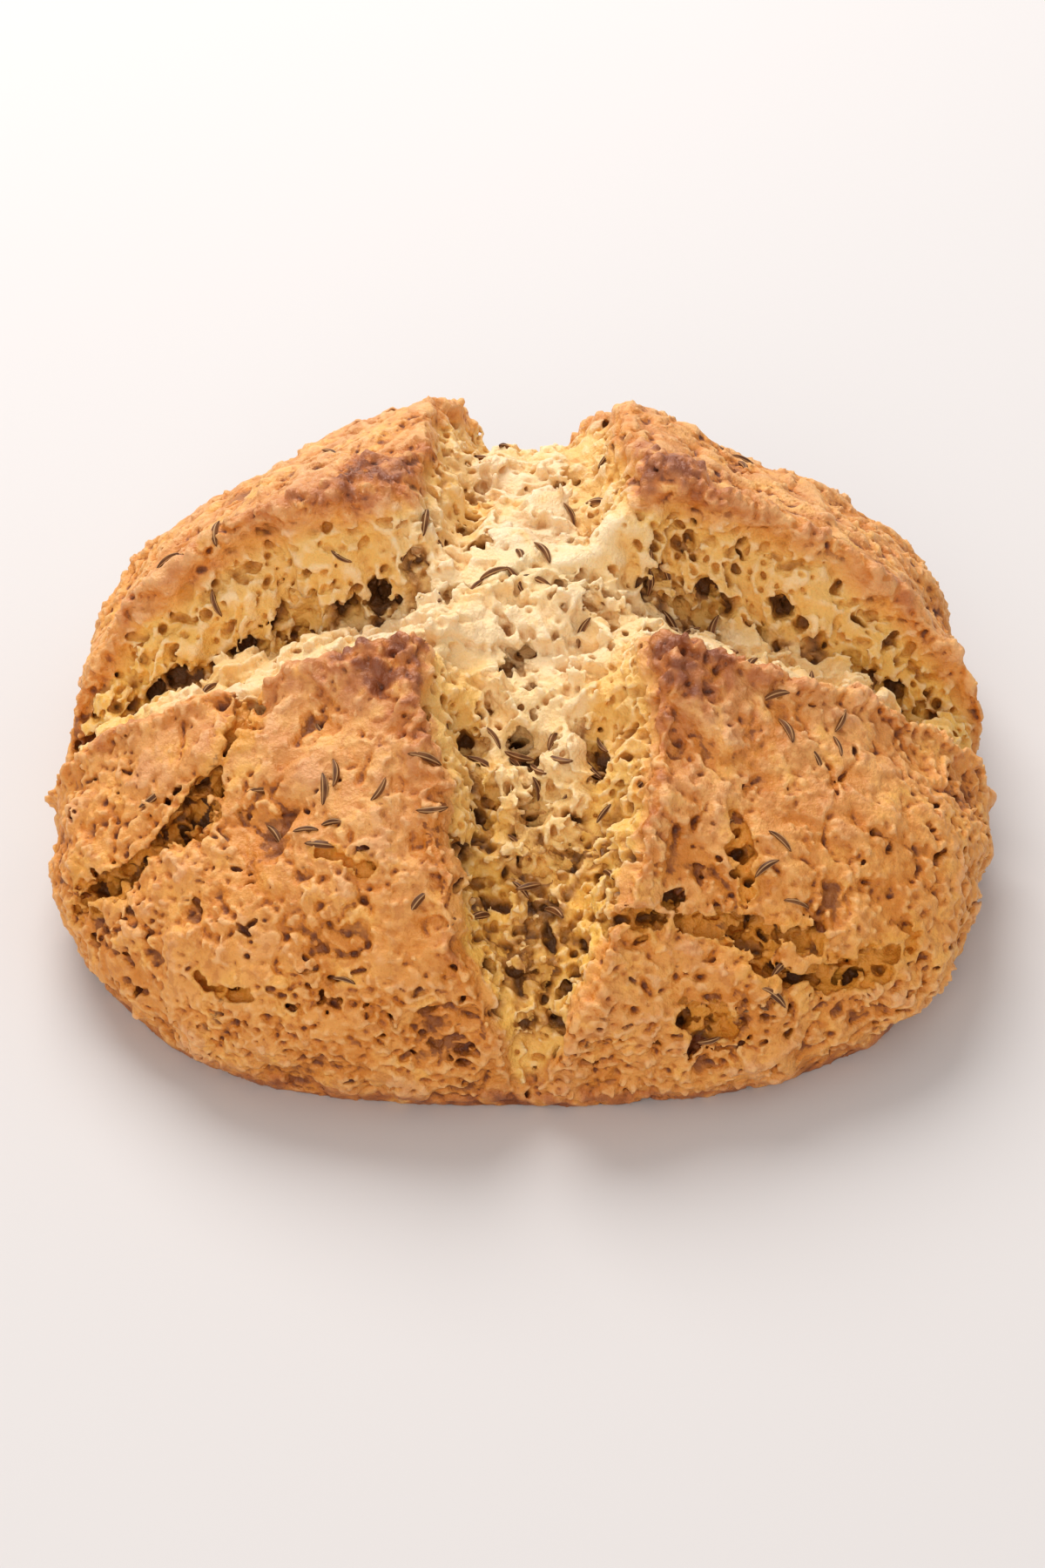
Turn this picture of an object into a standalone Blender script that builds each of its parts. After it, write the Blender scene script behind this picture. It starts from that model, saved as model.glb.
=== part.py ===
"""Round soda bread loaf, its top opened by a deep cross cut that sprang apart in the oven: one solid.

Metres, +Z up. The loaf rests on its flat base at z = 0, with the origin under its middle, and its
front faces -Y. The dome is covered by one square grid of faces whose lines follow the edges of the
cross, so that the crust's rims stay crisp. Places on the dome are given "along the crust": how far
to the right (a) and to the back (b) of the crown, measured down over the surface.
"""

import bpy
import numpy as np
from mathutils import Vector, noise

MM = 0.001

# The loaf as a whole.
WIDTH = 180 * MM
DEPTH = 180 * MM
HEIGHT = 73 * MM
BELLY_HEIGHT = 18 * MM  # level at which the loaf is widest
CROWN_SQUARENESS = 2.0  # power of the outline's superellipse: 2 is an ellipse, more is squarer
BASE_SQUARENESS = 2.75
CROWN_FULLNESS = 1.85  # power of the side's superellipse, from the belly up to the crown
FOOT_SHARE = 0.96  # width of the base against the belly

# The edges of the cross, along the crust, in mm. Each row goes with one stop of the same place.
STOPS = (-129, -112, -92, -70, -40, 0, 40, 70, 92, 112, 129)
FRONT_BACK_LEFT_EDGE = (0, -3, -9, -14, -17, -20, -18, -15, -12, -8, -5)
FRONT_BACK_RIGHT_EDGE = (5, 8, 15, 23, 25, 22, 20, 18, 13, 9, 5)
LEFT_RIGHT_FRONT_EDGE = (-14, -24, -31, -32, -31, -28, -31, -28, -25, -23, -14)
LEFT_RIGHT_BACK_EDGE = (-9, -8, 0, 6, 8, 8, 9, 6, 1, -8, -9)
EDGE_BLUR = 7 * MM  # rounds the corners between the stops

# How far the torn crumb lies below the crust, in mm, at the same stops.
FRONT_BACK_DEPTH = (0, 3, 11, 14, 13, 8, 8, 6, 6, 2, 0)
LEFT_RIGHT_DEPTH = (0, 3, 10, 13, 14, 8, 14, 13, 10, 3, 0)
FULL_DEPTH = 12 * MM  # from here on the crust's rim beside the crumb has its full height
WALL_SHARE = 0.42  # of each half of the front and back grooves
TROUGH = 0.22  # deepest line of the left and right grooves: -1 is their front edge, 1 their back
FRONT_STEP = 0.3  # share of that depth taken by the low step behind the front quarters

# The four crusted quarters.
RIM_LIFT = 1.8 * MM  # the crust's rim stands up along the cut
RIM_WIDTH = 7 * MM
BACK_LIFT = 4.5 * MM  # the back quarters stand higher near the crown
SWELL_REACH = 30 * MM
SWELLS = (  # (right, back, height), along the crust, in mm
    (-102, -62, 2.0),
    (-50, -100, 2.0),
    (85, -80, 4.0),
    (90, 50, 1.5),
    (-98, 5, -3.5),
    (-60, 60, -3.0),
    (40, 70, -1.5),
)
LUMP_HEIGHT = 1.3 * MM
LUMP_SIZE = 26 * MM
CRUMB_LUMP_HEIGHT = 1.6 * MM
CRUMB_LUMP_SIZE = 11 * MM

# Splits in the crust away from the cross: where each starts (right and back of the crown), which way
# it heads (degrees, 0 to the right and 90 to the back), how far it runs, how much it turns as it goes,
# how deep it is and half its width. Lengths are in mm.
SPLITS = (
    (-49, -30, -95, 55, -90, 5.0, 4.4),  # down the front left quarter, then round to the left
    (20, -84, 0, 36, 10, 3.2, 4.0),  # level, across the front right quarter
    (48, -89, 0, 34, 60, 3.2, 4.0),  # below it, rising to the right
    (36, -102, 0, 8, 0, 2.6, 3.2),  # a short one near the base
)
SPLIT_STEPS = 6  # straight steps that make up a split's bend

# The grid of faces.
CRUST_LINES = 25  # on each side of a groove
GROOVE_LINES = 14  # across a groove
MEAN_HALF_GAP = 0.16  # half a groove's width against the crust's run, for spacing the lines

CRUST_COLOUR = (0.58, 0.28, 0.09, 1.0)
CRUST_ROUGHNESS = 0.75


def smoothstep(low, high, value):
    share = np.clip((value - low) / (high - low), 0, 1)
    return share * share * (3 - 2 * share)


def profile_table():
    """The side of the loaf from crown to base: run down the crust, share of the reach, height."""
    turn = np.linspace(0, np.pi / 2, 240)
    share = np.sin(turn) ** (2 / CROWN_FULLNESS)
    height = BELLY_HEIGHT + (HEIGHT - BELLY_HEIGHT) * np.cos(turn) ** (2 / CROWN_FULLNESS)
    down = np.linspace(0, 1, 40)[1:]
    share = np.append(share, 1 - (1 - FOOT_SHARE) * down**2)
    height = np.append(height, BELLY_HEIGHT * (1 - down))
    steps = np.hypot(np.diff(share) * WIDTH / 2, np.diff(height))
    return np.append(0, np.cumsum(steps)), share, height


RUN, SHARE, SIDE_HEIGHT = profile_table()
CRUST_RUN = RUN[-1]


def dome(a, b):
    """Points of the uncut dome at the places (a, b) along the crust."""
    run = np.hypot(a, b)
    angle = np.arctan2(b, a)
    power = CROWN_SQUARENESS + (BASE_SQUARENESS - CROWN_SQUARENESS) * (run / CRUST_RUN) ** 2
    across = np.abs(np.cos(angle) / (WIDTH / 2)) ** power
    back = np.abs(np.sin(angle) / (DEPTH / 2)) ** power
    reach = (across + back) ** (-1 / power) * np.interp(run, RUN, SHARE)
    height = np.interp(run, RUN, SIDE_HEIGHT)
    return np.stack([reach * np.cos(angle), reach * np.sin(angle), height], axis=-1)


def dome_normals(a, b):
    step = 1.0 * MM
    along_a = dome(a + step, b) - dome(a - step, b)
    along_b = dome(a, b + step) - dome(a, b - step)
    normals = np.cross(along_a, along_b)
    return normals / np.linalg.norm(normals, axis=-1, keepdims=True)


def between_stops(place, values):
    """A value of a table in mm at a place along the crust, with its corners rounded."""
    stops = np.array(STOPS) / STOPS[-1] * CRUST_RUN
    shifts = np.linspace(-EDGE_BLUR, EDGE_BLUR, 5)
    return np.mean([np.interp(place + s, stops, np.array(values) * MM) for s in shifts], axis=0)


def grid_lines():
    """Lines across the square grid: -2 and 2 are the base's edge, and -1 and 1 the cut's edges."""
    crust = 1 + np.linspace(0, 1, CRUST_LINES + 1) ** 1.1
    turn = np.linspace(-1, 1, GROOVE_LINES + 1)
    groove = turn * 0.62 + np.sin(turn * np.pi / 2) * 0.38
    return np.concatenate([-crust[:0:-1], groove, crust[1:]])


def mean_place(line):
    """Where a line lies on average, from -1 to 1 across the whole square."""
    beyond = np.clip(np.abs(line) - 1, 0, 1)
    inside = np.clip(line, -1, 1) * MEAN_HALF_GAP
    return inside + np.sign(line) * beyond * (1 - MEAN_HALF_GAP)


def square_place(line, other, low_edge, high_edge):
    """Place of a line in the square, where the cut's edges are low_edge and high_edge away."""
    squeeze = CRUST_RUN * np.sqrt(1 - other**2 / 2)
    low, high = low_edge / squeeze, high_edge / squeeze
    inside = low + (high - low) * (np.clip(line, -1, 1) + 1) / 2
    beyond = np.clip(np.abs(line) - 1, 0, 1)
    edge = np.where(line > 0, 1 - high, -1 - low)
    return inside + edge * beyond


def crust_places(column, row):
    """Places along the crust of the grid's points, given their lines."""
    mean_a, mean_b = mean_place(column), mean_place(row)
    left = between_stops(mean_b * CRUST_RUN, FRONT_BACK_LEFT_EDGE)
    right = between_stops(mean_b * CRUST_RUN, FRONT_BACK_RIGHT_EDGE)
    front = between_stops(mean_a * CRUST_RUN, LEFT_RIGHT_FRONT_EDGE)
    back = between_stops(mean_a * CRUST_RUN, LEFT_RIGHT_BACK_EDGE)
    u = square_place(column, mean_b, left, right)
    v = square_place(row, mean_a, front, back)
    a = CRUST_RUN * u * np.sqrt(1 - v**2 / 2)
    b = CRUST_RUN * v * np.sqrt(1 - u**2 / 2)
    return a, b


def groove_depth(column, row, a, b):
    """Depth of the torn crumb below the dome: the deeper of the two grooves that cross."""
    across = np.abs(np.clip(column, -1, 1))
    bowl = 1 - 0.15 * across / (1 - WALL_SHARE)
    front_back = bowl * (1 - smoothstep(1 - WALL_SHARE, 1, across))
    front_back = front_back * between_stops(b, FRONT_BACK_DEPTH)
    along = np.clip(row, -1, 1)
    step = FRONT_STEP * smoothstep(-1, -0.86, along)
    slope = (1 - FRONT_STEP) * smoothstep(-1, TROUGH, along)
    left_right = (step + slope) * (1 - smoothstep(TROUGH + 0.1, 1, along))
    left_right = left_right * between_stops(a, LEFT_RIGHT_DEPTH)
    return np.maximum(front_back, left_right)


def split_route(right, back, heading, length, turn):
    """Places along a split, which turns evenly from its first heading."""
    headings = np.radians(heading + turn * (np.arange(SPLIT_STEPS) + 0.5) / SPLIT_STEPS)
    steps = np.stack([np.cos(headings), np.sin(headings)], -1) * length / SPLIT_STEPS
    return np.vstack([(0, 0), np.cumsum(steps, axis=0)]) * MM + np.array([right, back]) * MM


def route_distance(a, b, route):
    """Distance along the crust from each place to the nearest point of a route."""
    nearest = np.full(a.shape, np.inf)
    for start, end in zip(route, route[1:]):
        run = end - start
        share = ((a - start[0]) * run[0] + (b - start[1]) * run[1]) / (run @ run)
        share = np.clip(share, 0, 1)
        away = np.hypot(a - start[0] - share * run[0], b - start[1] - share * run[1])
        nearest = np.minimum(nearest, away)
    return nearest


def split_depth(a, b):
    depth = np.zeros(a.shape)
    for right, back, heading, length, turn, deep, half_width in SPLITS:
        route = split_route(right, back, heading, length, turn)
        away = route_distance(a, b, route) / (half_width * MM)
        depth = np.maximum(depth, deep * MM * np.exp(-(away**2)))
    return depth


def crust_lift(column, row, a, b):
    """The crust's rims along the cut, and the quarters' own swellings."""
    beside = (np.abs(column) - 1) * CRUST_RUN * (1 - MEAN_HALF_GAP)
    behind = (np.abs(row) - 1) * CRUST_RUN * (1 - MEAN_HALF_GAP)
    beside_depth = np.clip(between_stops(b, FRONT_BACK_DEPTH) / FULL_DEPTH, 0, 1)
    behind_depth = np.clip(between_stops(a, LEFT_RIGHT_DEPTH) / FULL_DEPTH, 0, 1)
    rim = np.maximum(
        beside_depth * np.exp(-((beside / RIM_WIDTH) ** 2)),
        behind_depth * np.exp(-((behind / RIM_WIDTH) ** 2)),
    )
    lift = RIM_LIFT * rim
    crown = 1 - smoothstep(0.35 * CRUST_RUN, 0.8 * CRUST_RUN, np.hypot(a, b))
    lift = lift + BACK_LIFT * crown * (row > 0)
    for right, back, height in SWELLS:
        away = np.hypot(a - right * MM, b - back * MM) / SWELL_REACH
        lift = lift + height * MM * np.exp(-(away**2))
    on_crust = smoothstep(-0.3, 0, np.minimum(np.abs(column), np.abs(row)) - 1)
    return on_crust * lift


def fit_to_size(points):
    """The points stretched to the loaf's exact size, centred over the origin."""
    low, high = points.min(axis=(0, 1)), points.max(axis=(0, 1))
    middle = (low + high) / 2 * (1, 1, 0)
    return (points - middle) * np.array([WIDTH, DEPTH, HEIGHT]) / (high - low * (1, 1, 0))


def lumps(points, height, size, offset):
    """A gentle unevenness of the given height and size, always the same for the same offset."""
    shift = Vector((offset, 0, 0))
    flat = points.reshape(-1, 3) / size
    values = [noise.noise(Vector(point) + shift) for point in flat]
    return height * np.array(values).reshape(points.shape[:-1])


def loaf_points():
    """Points of the square grid that covers the dome, rims, cross and splits."""
    lines = grid_lines()
    column, row = np.meshgrid(lines, lines, indexing="ij")
    a, b = crust_places(column, row)
    points = dome(a, b)
    depth = groove_depth(column, row, a, b)
    crumb = smoothstep(0, 5 * MM, depth)
    lift = crust_lift(column, row, a, b) - depth - split_depth(a, b) * (1 - crumb)
    lift += (1 - crumb) * lumps(points, LUMP_HEIGHT, LUMP_SIZE, 3.7) * 2
    lift += crumb * lumps(points, CRUMB_LUMP_HEIGHT, CRUMB_LUMP_SIZE, 8.1) * 2
    above_base = 1 - smoothstep(0.9 * CRUST_RUN, CRUST_RUN, np.hypot(a, b))
    points = points + dome_normals(a, b) * (lift * above_base)[..., None]
    points[..., 2] = np.maximum(points[..., 2], 0)
    return fit_to_size(points)


def crust_material():
    material = bpy.data.materials.new("baked_crust")
    material.use_nodes = True
    shader = material.node_tree.nodes["Principled BSDF"]
    shader.inputs["Base Color"].default_value = CRUST_COLOUR
    shader.inputs["Roughness"].default_value = CRUST_ROUGHNESS
    shader.inputs["Metallic"].default_value = 0.0
    return material


def build_loaf():
    """The grid over the dome, closed below by a flat base that fans out from its middle."""
    points = loaf_points()
    count = points.shape[0]
    index = np.arange(count * count).reshape(count, count)
    quads = np.stack([index[:-1, :-1], index[1:, :-1], index[1:, 1:], index[:-1, 1:]], axis=-1)
    rim = np.concatenate([index[:-1, 0], index[-1, :-1], index[:0:-1, -1], index[0, :0:-1]])
    vertices = points.reshape(-1, 3)
    vertices[rim, 2] = 0
    base_middle = len(vertices)
    vertices = np.vstack([vertices, [0, 0, 0]])
    base = [(base_middle, int(j), int(i)) for i, j in zip(rim, np.roll(rim, -1))]
    mesh = bpy.data.meshes.new("loaf")
    mesh.from_pydata(vertices.tolist(), [], quads.reshape(-1, 4).tolist() + base)
    mesh.validate()
    mesh.shade_smooth()
    mesh.set_sharp_from_angle(angle=1.0)
    mesh.materials.append(crust_material())
    loaf = bpy.data.objects.new("loaf", mesh)
    bpy.context.scene.collection.objects.link(loaf)
    return loaf


def main():
    for old in list(bpy.data.objects):
        bpy.data.objects.remove(old)
    build_loaf()


main()
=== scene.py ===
"""Looks of a round soda bread loaf: browned crust, torn crumb in the cross cut, and caraway seeds.

The shape is worked out in millimetres, in the frame's own axes: +Z up, the front facing -Y. Places
on the dome are given "along the crust": how far right (a) and back (b) of the crown, measured down
over the surface. The loaf's size comes from the frame; its form, the cross and the routes of the
longest splits repeat the solid's.
"""

import itertools
import math

import bpy
import numpy as np
import openvdb
from mathutils import Matrix, Vector, kdtree
from mathutils import noise as solid_noise


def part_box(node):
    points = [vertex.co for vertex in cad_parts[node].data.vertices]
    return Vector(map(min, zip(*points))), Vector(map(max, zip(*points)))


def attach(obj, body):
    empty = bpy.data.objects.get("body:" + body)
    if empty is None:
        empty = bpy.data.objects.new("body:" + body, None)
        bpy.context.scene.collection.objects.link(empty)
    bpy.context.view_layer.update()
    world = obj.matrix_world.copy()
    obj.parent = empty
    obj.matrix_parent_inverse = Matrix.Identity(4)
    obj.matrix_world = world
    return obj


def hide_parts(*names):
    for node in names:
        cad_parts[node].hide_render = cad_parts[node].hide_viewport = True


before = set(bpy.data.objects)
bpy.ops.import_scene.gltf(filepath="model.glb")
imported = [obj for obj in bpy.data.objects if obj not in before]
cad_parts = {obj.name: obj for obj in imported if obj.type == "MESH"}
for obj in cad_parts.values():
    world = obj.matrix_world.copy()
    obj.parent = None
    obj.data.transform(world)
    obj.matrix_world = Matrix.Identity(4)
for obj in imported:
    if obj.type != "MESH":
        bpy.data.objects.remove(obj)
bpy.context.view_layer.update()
LOW, HIGH = (np.array(corner) * 1000 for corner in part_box("loaf"))
WIDTH, DEPTH, HEIGHT = HIGH - LOW
MM = 0.001

# ---------------------------------------------------------------- the solid's form

BELLY_HEIGHT = 18  # level at which the loaf is widest
CROWN_SQUARENESS = 2.0  # power of the outline's superellipse: 2 is an ellipse, more is squarer
BASE_SQUARENESS = 2.75
CROWN_FULLNESS = 1.85  # power of the side's superellipse, from the belly up to the crown
FOOT_SHARE = 0.96  # width of the base against the belly

# The edges of the cross, along the crust. Each row goes with one stop of the same place.
STOPS = (-129, -112, -92, -70, -40, 0, 40, 70, 92, 112, 129)
FRONT_BACK_LEFT_EDGE = (0, -3, -9, -14, -17, -20, -18, -15, -12, -8, -5)
FRONT_BACK_RIGHT_EDGE = (5, 8, 15, 23, 25, 22, 20, 18, 13, 9, 5)
LEFT_RIGHT_FRONT_EDGE = (-14, -24, -31, -32, -31, -28, -31, -28, -25, -23, -14)
LEFT_RIGHT_BACK_EDGE = (-9, -8, 0, 6, 8, 8, 9, 6, 1, -8, -9)
EDGE_BLUR = 7  # rounds the corners between the stops

# How far the torn crumb lies below the crust, at the same stops.
FRONT_BACK_DEPTH = (0, 3, 11, 14, 13, 8, 8, 6, 6, 2, 0)
LEFT_RIGHT_DEPTH = (0, 3, 10, 13, 14, 8, 14, 13, 10, 3, 0)
FULL_DEPTH = 12  # from here on the crust's rim beside the crumb has its full height
WALL_SHARE = 0.42  # of each half of the front and back grooves
TROUGH = 0.22  # deepest line of the left and right grooves: -1 is their front edge, 1 their back
FRONT_STEP = 0.3  # share of that depth taken by the low step behind the front quarters

# The four crusted quarters.
RIM_LIFT = 1.8  # the crust's rim stands up along the cut
RIM_WIDTH = 7
BACK_LIFT = 4.5  # the back quarters stand higher near the crown
SWELL_REACH = 30
SWELLS = (  # right, back, height
    (-102, -62, 2.0),
    (-50, -100, 2.0),
    (85, -80, 4.0),
    (90, 50, 1.5),
    (-98, 5, -3.5),
    (-60, 60, -3.0),
    (40, 70, -1.5),
)
LUMP_HEIGHT, LUMP_SIZE, LUMP_SHIFT = 1.3, 26, 3.7
CRUMB_LUMP_HEIGHT, CRUMB_LUMP_SIZE, CRUMB_LUMP_SHIFT = 1.6, 11, 8.1
MEAN_HALF_GAP = 0.16  # half a groove's width against the crust's run, for spacing the lines


def smoothstep(low, high, value):
    share = np.clip((value - low) / (high - low), 0, 1)
    return share * share * (3 - 2 * share)


def profile_table():
    """The side of the loaf from crown to base: run down the crust, share of the reach, height."""
    turn = np.linspace(0, np.pi / 2, 240)
    share = np.sin(turn) ** (2 / CROWN_FULLNESS)
    height = BELLY_HEIGHT + (HEIGHT - BELLY_HEIGHT) * np.cos(turn) ** (2 / CROWN_FULLNESS)
    down = np.linspace(0, 1, 40)[1:]
    share = np.append(share, 1 - (1 - FOOT_SHARE) * down**2)
    height = np.append(height, BELLY_HEIGHT * (1 - down))
    steps = np.hypot(np.diff(share) * WIDTH / 2, np.diff(height))
    return np.append(0, np.cumsum(steps)), share, height


RUN, SHARE, SIDE_HEIGHT = profile_table()
CRUST_RUN = RUN[-1]


def dome(a, b):
    """Points of the uncut dome at the places (a, b) along the crust."""
    run = np.hypot(a, b)
    angle = np.arctan2(b, a)
    power = CROWN_SQUARENESS + (BASE_SQUARENESS - CROWN_SQUARENESS) * (run / CRUST_RUN) ** 2
    across = np.abs(np.cos(angle) / (WIDTH / 2)) ** power
    back = np.abs(np.sin(angle) / (DEPTH / 2)) ** power
    reach = (across + back) ** (-1 / power) * np.interp(run, RUN, SHARE)
    height = np.interp(run, RUN, SIDE_HEIGHT)
    return np.stack([reach * np.cos(angle), reach * np.sin(angle), height], axis=-1)


def between_stops(place, values):
    """A value of a table at a place along the crust, with its corners rounded."""
    stops = np.array(STOPS) / STOPS[-1] * CRUST_RUN
    shifts = np.linspace(-EDGE_BLUR, EDGE_BLUR, 5)
    return np.mean([np.interp(place + s, stops, values) for s in shifts], axis=0)


def unit(vectors):
    return vectors / np.maximum(np.linalg.norm(vectors, axis=-1, keepdims=True), 1e-9)


def dome_normals(a, b):
    along_a = dome(a + 1, b) - dome(a - 1, b)
    along_b = dome(a, b + 1) - dome(a, b - 1)
    return unit(np.cross(along_a, along_b))


# ---------------------------------------------------------------- unevenness

BLOCK = 64  # samples along each side of a block of noise, which repeats beyond it
SAMPLES = 4  # of them across one lump
CELLS = 12  # cushions along each side of a block


def read_block(block, place):
    """The value of a repeating block between its samples."""
    cell = np.floor(place).astype(np.int32)
    part = (place - cell).astype(np.float32)
    low, high = cell & (BLOCK - 1), (cell + 1) & (BLOCK - 1)
    rows = [(low[..., 0] * BLOCK, 1 - part[..., 0]), (high[..., 0] * BLOCK, part[..., 0])]
    total = 0
    for row, row_share in rows:
        for column, column_share in ((low[..., 1], 1 - part[..., 1]), (high[..., 1], part[..., 1])):
            line = (row + column) * BLOCK
            near, far = block[line + low[..., 2]], block[line + high[..., 2]]
            total = total + row_share * column_share * (near + (far - near) * part[..., 2])
    return total


def noise_block():
    """Smooth noise, about -1 to 1, with its lumps near one width."""
    waves = np.fft.fftn(np.random.default_rng(11).standard_normal((BLOCK,) * 3))
    turns = np.fft.fftfreq(BLOCK) * SAMPLES
    x, y, z = np.meshgrid(turns, turns, turns, indexing="ij")
    waves = waves * np.exp(-(((np.sqrt(x**2 + y**2 + z**2) - 0.6) / 0.3) ** 2))
    block = np.fft.ifftn(waves).real
    return (block / block.std() * 0.33).astype(np.float32).ravel()


def pad_block():
    """Cushions with creases between them: 0 in a crease, 1 on a cushion."""
    rng = np.random.default_rng(12)
    middles = rng.random((CELLS, CELLS, CELLS, 3))
    side = np.arange(BLOCK) * CELLS / BLOCK
    place = np.stack(np.meshgrid(side, side, side, indexing="ij"), -1)
    home = np.floor(place).astype(int)
    nearest = np.full(place.shape[:-1], 9.0)
    second = nearest.copy()
    for step in itertools.product((-1, 0, 1), repeat=3):
        cell = home + step
        wrapped = cell % CELLS
        middle = cell + middles[wrapped[..., 0], wrapped[..., 1], wrapped[..., 2]]
        away = np.linalg.norm(place - middle, axis=-1)
        second = np.minimum(second, np.maximum(nearest, away))
        nearest = np.minimum(nearest, away)
    return np.clip((second - nearest) * 2.2, 0, 1).astype(np.float32).ravel()


NOISE = noise_block()
PADS = pad_block()
OFFSET = np.array([12.91, 37.73, 78.23], np.float32)


def uneven(points, size, seed=0):
    """Smooth noise, about -1 to 1, whose lumps are about size mm wide."""
    return read_block(NOISE, points * np.float32(SAMPLES / size) + OFFSET * seed)


def layered(points, size, seed=0, layers=3):
    """Noise with finer and fainter noise on top."""
    return sum(uneven(points, size / 2**k, seed + k) / 2**k for k in range(layers))


def pads(points, size, seed=0):
    """Cushions about size mm wide with creases between them: 0 in a crease, 1 on a cushion."""
    return read_block(PADS, points * np.float32(BLOCK / CELLS / size) + OFFSET * seed)


def uneven_line(place, size, seed):
    """Noise along a line, for how an edge wanders."""
    flat = np.asarray(place, float)
    points = np.stack([flat, np.full_like(flat, seed * 7.7), np.full_like(flat, 0.4)], -1)
    return uneven(points, size, seed)


# ---------------------------------------------------------------- the fine surface

CRUST_LINES = 330  # lines of the fine grid on each side of a groove
GROOVE_LINES = 250  # across a groove
SPARE = 0.3  # how much smaller than the solid the loaf is, so that it stays inside its box
LIP_DROP = 2.6  # how far the crust's broken edge stands above the crumb just inside it
LIP_ROLL = 1.5  # how far the crust swells just outside its broken edge


def grid_lines():
    """Lines across the square grid: -2 and 2 are the base's edge, and -1 and 1 the cut's edges."""
    crust = 1 + np.linspace(0, 1, CRUST_LINES + 1)
    turn = np.linspace(-1, 1, GROOVE_LINES + 1)
    groove = turn * 0.62 + np.sin(turn * np.pi / 2) * 0.38
    return np.concatenate([-crust[:0:-1], groove, crust[1:]])


def mean_place(line):
    """Where a line lies on average, from -1 to 1 across the whole square."""
    outside = np.clip(np.abs(line) - 1, 0, 1)
    inside = np.clip(line, -1, 1) * MEAN_HALF_GAP
    return inside + np.sign(line) * outside * (1 - MEAN_HALF_GAP)


def square_place(line, other, low_edge, high_edge):
    """Place of a line in the square, where the cut's edges are low_edge and high_edge away."""
    squeeze = CRUST_RUN * np.sqrt(1 - other**2 / 2)
    low, high = low_edge / squeeze, high_edge / squeeze
    inside = low + (high - low) * (np.clip(line, -1, 1) + 1) / 2
    outside = np.clip(np.abs(line) - 1, 0, 1)
    edge = np.where(line > 0, 1 - high, -1 - low)
    return inside + edge * outside


def ragged_edge(place, values, seed):
    """An edge of the cut at a place along it: its table, torn unevenly."""
    torn = 2.0 * uneven_line(place, 14, seed) + 1.3 * uneven_line(place, 5, seed + 20)
    torn = torn + 0.6 * uneven_line(place, 1.9, seed + 40)
    return between_stops(place, values) + torn * smoothstep(CRUST_RUN, 0.8 * CRUST_RUN, np.abs(place))


def fine_grid():
    """The fine grid's places along the crust, and how far each is outside the cut's edge."""
    lines = grid_lines()
    column, row = np.meshgrid(lines, lines, indexing="ij")
    mean_a, mean_b = mean_place(lines) * CRUST_RUN, mean_place(lines) * CRUST_RUN
    left = ragged_edge(mean_b, FRONT_BACK_LEFT_EDGE, 1)[None, :]
    right = ragged_edge(mean_b, FRONT_BACK_RIGHT_EDGE, 2)[None, :]
    front = ragged_edge(mean_a, LEFT_RIGHT_FRONT_EDGE, 3)[:, None]
    back = ragged_edge(mean_a, LEFT_RIGHT_BACK_EDGE, 4)[:, None]
    u = square_place(column, mean_place(row), left, right)
    v = square_place(row, mean_place(column), front, back)
    a = CRUST_RUN * u * np.sqrt(1 - v**2 / 2)
    b = CRUST_RUN * v * np.sqrt(1 - u**2 / 2)
    crust_scale = CRUST_RUN * (1 - MEAN_HALF_GAP)
    on_crust = np.minimum(np.abs(column) - 1, np.abs(row) - 1) * crust_scale
    half_gap_a, half_gap_b = (right - left) / 2, (back - front) / 2
    in_gap_a = np.clip(1 - np.abs(column), 0, 1) * half_gap_a
    in_gap_b = np.clip(1 - np.abs(row), 0, 1) * half_gap_b
    edge = np.where(on_crust > 0, on_crust, -np.hypot(in_gap_a, in_gap_b))
    return column, row, a, b, edge


def groove_depth(column, row, a, b):
    """Depth of the torn crumb below the dome: the deeper of the two grooves that cross."""
    across = np.abs(np.clip(column, -1, 1))
    bowl = 1 - 0.15 * across / (1 - WALL_SHARE)
    front_back = bowl * (1 - smoothstep(1 - WALL_SHARE, 1, across))
    front_back = front_back * between_stops(b, FRONT_BACK_DEPTH)
    along = np.clip(row, -1, 1)
    step = FRONT_STEP * smoothstep(-1, -0.86, along)
    slope = (1 - FRONT_STEP) * smoothstep(-1, TROUGH, along)
    left_right = (step + slope) * (1 - smoothstep(TROUGH + 0.1, 1, along))
    left_right = left_right * between_stops(a, LEFT_RIGHT_DEPTH)
    return np.maximum(front_back, left_right)


def groove_shares(a, b):
    """How deep each groove is beside a point, from 0 to 1: front to back, and left to right."""
    front_back = np.clip(between_stops(b, FRONT_BACK_DEPTH) / FULL_DEPTH, 0, 1)
    left_right = np.clip(between_stops(a, LEFT_RIGHT_DEPTH) / FULL_DEPTH, 0, 1)
    return front_back, left_right


def crust_lift(column, row, a, b, shares):
    """The crust's rims along the cut, and the quarters' own swellings."""
    beside = (np.abs(column) - 1) * CRUST_RUN * (1 - MEAN_HALF_GAP)
    behind = (np.abs(row) - 1) * CRUST_RUN * (1 - MEAN_HALF_GAP)
    rim = np.maximum(
        shares[0] * np.exp(-((beside / RIM_WIDTH) ** 2)),
        shares[1] * np.exp(-((behind / RIM_WIDTH) ** 2)),
    )
    lift = RIM_LIFT * rim
    crown = 1 - smoothstep(0.35 * CRUST_RUN, 0.8 * CRUST_RUN, np.hypot(a, b))
    lift = lift + BACK_LIFT * crown * (row > 0)
    for right, back, height in SWELLS:
        away = np.hypot(a - right, b - back) / SWELL_REACH
        lift = lift + height * np.exp(-(away**2))
    on_crust = smoothstep(-0.3, 0, np.minimum(np.abs(column), np.abs(row)) - 1)
    return on_crust * lift, rim


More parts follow.
